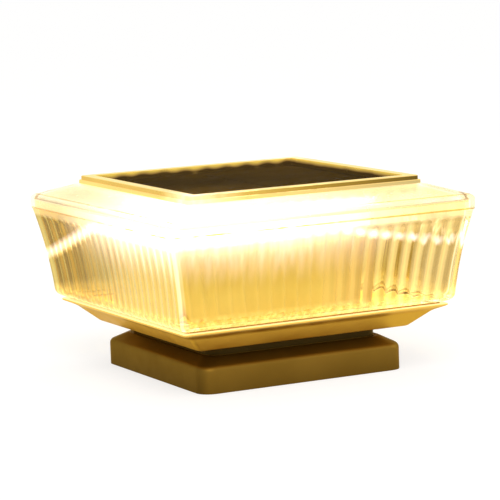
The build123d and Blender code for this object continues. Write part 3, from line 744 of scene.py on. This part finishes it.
def frame_look():
    """Polished gold frame with a painted highlight on top and painted shade on its walls towards the right;
    its inner walls darken towards the panel in painted shade, under a scalloped edge of painted light.
    """
    look = plain_look("frame_gold", (0.58, 0.35, 0.05), (0.66, 0.41, 0.065), 0.24, scale=35.0, Metallic=0.9,
                      Specular_Tint=(1.0, 0.85, 0.5, 1.0))
    top = look.upward(0.3, 0.7)
    # Painted shade: the walls darken towards the right while the top keeps its full gold.
    right_wall_shade = look.spread(look.x, 0.4 * frame_low.x, frame_high.x, 1.0, 0.25)
    gold = look.scaled(look.colour, look.math("MAXIMUM", top, right_wall_shade))
    # Painted shade on the inner walls, darkest at the panel, with a scalloped edge of painted light.
    inside = look.math("LESS_THAN", look.out, POCKET_WALL)
    across = look.math("LESS_THAN", *look.reach)
    light_scallops = look.product(look.wave(look.along, LIGHT_SCALLOP_PITCH), across, 0.14)
    uneven = look.clouds(60.0, 2.0, -0.12, 0.12)
    rise = look.total(look.spread(look.z, glass_high.z, frame_high.z), light_scallops, uneven)
    lit = look.spread(rise, 0.1, 0.9)
    wall = look.blend(lit, (0.09, 0.055, 0.008), (0.62, 0.40, 0.05))
    look.set("Base Color", look.blend(inside, gold, wall))

    flare = look.product(look.spread(look.dim, 0.24, 0.04), look.patches(160.0, 0.4, 0.6, 0.8, 1.1))
    outer_light = look.blend(flare, (1.0, 0.80, 0.36), (1.0, 0.90, 0.66))
    inner_light = look.blend(lit, (1.0, 0.58, 0.18), (1.0, 0.70, 0.12))
    look.set("Emission Color", look.blend(inside, outer_light, inner_light))

    lower = look.math("LESS_THAN", look.z, cover_high.z + FRAME_STEP_HEIGHT)
    # Painted light on the left-facing walls and on the lower step, with the flare added outside.
    left_and_step_light = look.math("MAXIMUM", look.spread(look.x, 0.0, frame_low.x, 0.0, 0.2), look.product(lower, 0.5))
    outside = look.product(look.total(left_and_step_light, look.product(flare, 0.65)), look.flip(inside))
    at_front = look.spread(look.y, GLINT_START, GLINT_FULL)
    glints = look.patches(130.0, 0.42, 0.6, 0.25)
    glint = look.product(0.7, at_front, glints, look.spread(look.dim, 0.8, 0.3))
    # Painted highlight on the top face with glints along its front edge, and painted light on the inner
    # walls.
    top_highlight = look.product(top, look.total(glint, 0.4))
    sheen_and_wall_light = look.math("MAXIMUM", top_highlight, look.product(inside, look.spread(lit, 0.0, 1.0, 0.045, 0.7)))
    look.set("Emission Strength", look.math("MAXIMUM", sheen_and_wall_light, outside))
    return look


# Painted reflection that pales the panel towards its front and left
BLOOM_BACK = 15.0 * MM
BLOOM_FRONT = -40.0 * MM
BLOOM_RIGHT = 55.0 * MM
BLOOM_LEFT = -10.0 * MM


def cell_look():
    """Dark brown solar cells with faint fingers and bars, paled by painted reflection towards the front and
    back corners and most at the front corner.
    """
    look = Look("solar_cell", Specular_IOR_Level=0.0)
    body = look.blend(look.clouds(30.0), (0.048, 0.026, 0.004), (0.068, 0.037, 0.006))
    fingers = look.math("GREATER_THAN", look.wave(look.x, FINGER_PITCH), 0.93)
    bars = look.math("GREATER_THAN", look.wave(look.y, BAR_PITCH), 0.985)
    lines = look.product(look.math("MAXIMUM", fingers, bars), 0.2)
    surface = look.blend(lines, body, (0.13, 0.085, 0.03))
    # Painted reflection: the cells pale towards the front and back corners, and most towards the front
    # corner.
    gain = look.spread(look.diagonal, 0.0, 2 * glass_high.x, 0.8, 1.5)
    forward = look.spread(look.y, BLOOM_BACK, BLOOM_FRONT)
    leftward = look.spread(look.x, BLOOM_RIGHT, BLOOM_LEFT)
    look.set("Base Color", look.scaled(surface, look.total(gain, look.product(forward, leftward))))
    look.set("Roughness", look.clouds(150.0, low=0.45, high=0.6))
    return look


# Light on the tray's lip
LIP_GLOW_FOOT = tray_high.z - 2.4 * MM


def tray_look():
    """Gold tray, lit along its lip and on its inside."""
    look = plain_look("tray_gold", (0.62, 0.35, 0.042), (0.68, 0.39, 0.05), 0.34, scale=30.0, strength=0.05,
                      Metallic=0.9, Specular_Tint=(1.0, 0.8, 0.4, 1.0))
    lip = look.spread(look.z, LIP_GLOW_FOOT, tray_high.z, 0.0, 0.4)
    inside = look.product(look.upward(0.3, 0.6), 0.9)
    look.set("Emission Color", look.blend(inside, (1.0, 0.72, 0.22), (1.0, 0.86, 0.46)))
    look.set("Emission Strength", look.math("MAXIMUM", lip, inside))
    return look


# Shade on the base: soft change at its corners, dark above its top
SIDE_SHADE_START = -3.0 * MM
SIDE_SHADE_FULL = 4.0 * MM
RECESS_SHADE = base_high.z + 0.5 * MM


def base_look():
    """Bronze base, darker at its foot, with painted shade on its left and right walls and painted shadow of
    the tray on its sloped top and above it.
    """
    look = Look("base_bronze", Metallic=0.85, Specular_Tint=(1.0, 0.75, 0.35, 1.0))
    clouds = look.clouds(28.0)
    top = look.blend(clouds, (0.20, 0.108, 0.012), (0.235, 0.128, 0.016))
    foot = look.blend(clouds, (0.12, 0.062, 0.006), (0.145, 0.078, 0.009))
    body = look.blend(look.spread(look.z, base_low.z, hip_foot), foot, top)
    sideways = look.math("SUBTRACT", *look.reach)
    body = look.scaled(body, look.spread(sideways, SIDE_SHADE_START, SIDE_SHADE_FULL, 1.0, 0.72))
    # Painted shadow of the tray: the sloped top darkens, and above the base it turns near black.
    recess_shadow = look.spread(look.z, base_high.z, RECESS_SHADE)
    hip_shadow = look.blend(recess_shadow, (0.16, 0.094, 0.013), (0.035, 0.020, 0.003))
    look.set("Base Color", look.blend(look.spread(look.z, hip_foot, base_high.z), body, hip_shadow))
    look.set("Roughness", look.clouds(90.0, low=0.4, high=0.5))
    look.bump(look.noise(1500.0, 2.0), 0.15, GRAIN_DEPTH)
    return look


# Plain materials: dark and light colour, roughness and what else differs
PLAIN_LOOKS = {
    "foam_black": ((0.02, 0.02, 0.02), (0.045, 0.042, 0.038), 0.85, {"strength": 0.5}),
    "seal_rubber": ((0.36, 0.22, 0.035), (0.46, 0.29, 0.05), 0.6, {}),
    "seal_clear": ((0.70, 0.54, 0.26), (0.80, 0.64, 0.34), 0.5, {}),
    "backsheet_black": ((0.022, 0.014, 0.006), (0.035, 0.022, 0.010), 0.6, {"Specular_IOR_Level": 0.0}),
    "panel_glass": ((0.05, 0.033, 0.008), (0.07, 0.046, 0.012), 0.3,
                    {"Alpha": 0.05, "Specular_IOR_Level": 0.04}),
    "battery_sleeve": ((0.04, 0.10, 0.20), (0.06, 0.14, 0.26), 0.3, {}),
    "holder_black": ((0.02, 0.02, 0.02), (0.04, 0.04, 0.04), 0.5, {}),
    "contact_nickel": ((0.50, 0.48, 0.44), (0.66, 0.63, 0.58), 0.3, {"Metallic": 1.0}),
    "board_green": ((0.02, 0.12, 0.05), (0.035, 0.17, 0.07), 0.4, {}),
    "button_grey": ((0.07, 0.07, 0.07), (0.11, 0.11, 0.105), 0.55, {"strength": 0.3}),
    "screw_steel": ((0.45, 0.44, 0.42), (0.60, 0.59, 0.56), 0.3, {"Metallic": 1.0}),
    "wire_black": ((0.02, 0.02, 0.02), (0.04, 0.04, 0.04), 0.45, {}),
    "wire_white": ((0.72, 0.68, 0.58), (0.82, 0.78, 0.68), 0.45, {}),
}

looks = {
    "base_bronze": base_look(),
    "tray_gold": tray_look(),
    "lens_amber": lens_look(),
    "cover_clear": cover_look(),
    "frame_gold": frame_look(),
    "solar_cell": cell_look(),
    "core_white": core_look(),
    "led_board_white": board_look(),
    "foam_white": glow_look("foam_white", (0.80, 0.72, 0.52), 0.0),
    "led_warm": glow_look("led_warm", (1.0, 0.9, 0.62), 10.0, Emission_Color=(1.0, 0.93, 0.74, 1.0)),
}
for name, (dark, light, rough, others) in PLAIN_LOOKS.items():
    looks[name] = plain_look(name, dark, light, rough, **others)

slots = {piece["node"]: piece["material_slot"] for piece in frame["record"]["subparts"]}
for name, slot in slots.items():
    nodes[name].data.materials.clear()
    nodes[name].data.materials.append(looks[slot].material)

smooth_shells = (
    (build_lens(), "fluted_lens"),
    (build_cover(), "top_cover"),
    (build_tray(), "bottom_tray"),
)
for obj, node in smooth_shells:
    obj.data.materials.append(looks[slots[node]].material)
    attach(obj, "head")
    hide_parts(node)

# Floor, surroundings and lamps
TARGET = Vector((0.0, 0.0, 55.0 * MM))
WHITE = (1.0, 1.0, 1.0)
FLOOR_REACH = 30.0
FLOOR_Z = -0.1 * MM
FLOOR_LIGHT = 0.71
FLOOR_GREY = (0.36, 0.36, 0.36)
FLOOR_PALE = (0.7, 0.69, 0.67)
SKY_COLOUR = (1.0, 0.98, 0.95)
SKY_LIGHT = 0.45
WHITE_SKY_LIGHT = 1.0
KEY_DIRECTION = Vector((0.5, 1.0, -1.1))
KEY_LIGHT = 1.6
KEY_ANGLE = radians(40)
SOFTBOX_SIZE = 0.9
SOFTBOX_POWER = 3.0
SOFTBOXES = {"fill": Vector((1.1, -0.6, 0.7)), "top": Vector((0.1, 0.5, 1.3))}


def painted(node, colour, strength=None):
    """Shader node with its colour and, where it gives light, its strength."""
    node.inputs["Color"].default_value = (*colour, 1.0)
    if strength is not None:
        node.inputs["Strength"].default_value = strength
    return node


def seen_or_not(tree, seen, unseen, output):
    """Shader that camera, glossy and transmission rays take from seen and all others from unseen."""
    path = tree.nodes.new("ShaderNodeLightPath")
    either = path.outputs["Is Camera Ray"]
    for other in ("Is Glossy Ray", "Is Transmission Ray"):
        join = tree.nodes.new("ShaderNodeMath")
        join.operation = "MAXIMUM"
        tree.links.new(either, join.inputs[0])
        tree.links.new(path.outputs[other], join.inputs[1])
        either = join.outputs[0]
    mix = tree.nodes.new("ShaderNodeMixShader")
    tree.links.new(either, mix.inputs[0])
    tree.links.new(unseen.outputs[0], mix.inputs[1])
    tree.links.new(seen.outputs[0], mix.inputs[2])
    tree.links.new(mix.outputs[0], output.inputs["Surface"])


def build_floor():
    material = bpy.data.materials.new("floor_white")
    material.use_nodes = True
    tree = material.node_tree
    tree.nodes.remove(tree.nodes["Principled BSDF"])
    light = painted(tree.nodes.new("ShaderNodeEmission"), WHITE, FLOOR_LIGHT)
    grey = painted(tree.nodes.new("ShaderNodeBsdfDiffuse"), FLOOR_GREY)
    both = tree.nodes.new("ShaderNodeAddShader")
    tree.links.new(light.outputs[0], both.inputs[0])
    tree.links.new(grey.outputs[0], both.inputs[1])
    pale = painted(tree.nodes.new("ShaderNodeBsdfDiffuse"), FLOOR_PALE)
    seen_or_not(tree, both, pale, tree.nodes["Material Output"])
    mesh = bpy.data.meshes.new("floor")
    signs = ((-1, -1), (1, -1), (1, 1), (-1, 1))
    corners = [(FLOOR_REACH * x, FLOOR_REACH * y, FLOOR_Z) for x, y in signs]
    mesh.from_pydata(corners, [], [(0, 1, 2, 3)])
    mesh.materials.append(material)
    floor = add_object("floor", mesh)


def build_world():
    world = bpy.data.worlds.new("studio")
    bpy.context.scene.world = world
    world.use_nodes = True
    tree = world.node_tree
    sky = painted(tree.nodes["Background"], SKY_COLOUR, SKY_LIGHT)
    white = painted(tree.nodes.new("ShaderNodeBackground"), WHITE, WHITE_SKY_LIGHT)
    seen_or_not(tree, white, sky, tree.nodes["World Output"])


def aim(obj, direction):
    obj.rotation_euler = direction.to_track_quat("-Z", "Y").to_euler()


def build_lamps():
    sun = bpy.data.lights.new("key", "SUN")
    sun.energy = KEY_LIGHT
    sun.angle = KEY_ANGLE
    aim(add_object("key", sun), KEY_DIRECTION)
    for name, place in SOFTBOXES.items():
        lamp = bpy.data.lights.new(name, "AREA")
        lamp.size = SOFTBOX_SIZE
        lamp.energy = SOFTBOX_POWER
        obj = add_object(name, lamp)
        obj.location = place
        aim(obj, TARGET - place)


# Camera at the photograph's angle
CAMERA_TURN = radians(-27.22)
CAMERA_RISE = radians(8.218)
CAMERA_ROLL = radians(2.057)
CAMERA_DISTANCE = 1.3586
CAMERA_LENS = 180.0
CAMERA_SENSOR = 36.0
CAMERA_SHIFT = (0.00155, 0.0313)


def build_camera():
    level = cos(CAMERA_RISE)
    back = Vector((sin(CAMERA_TURN) * level, -cos(CAMERA_TURN) * level, sin(CAMERA_RISE)))
    right = Vector((cos(CAMERA_TURN), sin(CAMERA_TURN), 0.0))
    up = back.cross(right)
    rolled_right = right * cos(CAMERA_ROLL) - up * sin(CAMERA_ROLL)
    rolled_up = right * sin(CAMERA_ROLL) + up * cos(CAMERA_ROLL)
    place = TARGET + back * CAMERA_DISTANCE
    lens = bpy.data.cameras.new("camera")
    lens.lens = CAMERA_LENS
    lens.sensor_width = CAMERA_SENSOR
    lens.shift_x, lens.shift_y = CAMERA_SHIFT
    camera = add_object("camera", lens)
    rows = [(rolled_right[i], rolled_up[i], back[i], place[i]) for i in range(3)]
    camera.matrix_world = Matrix((*rows, (0.0, 0.0, 0.0, 1.0)))
    bpy.context.scene.camera = camera


build_floor()
build_world()
build_lamps()
build_camera()
bpy.context.scene.view_settings.view_transform = "Standard"
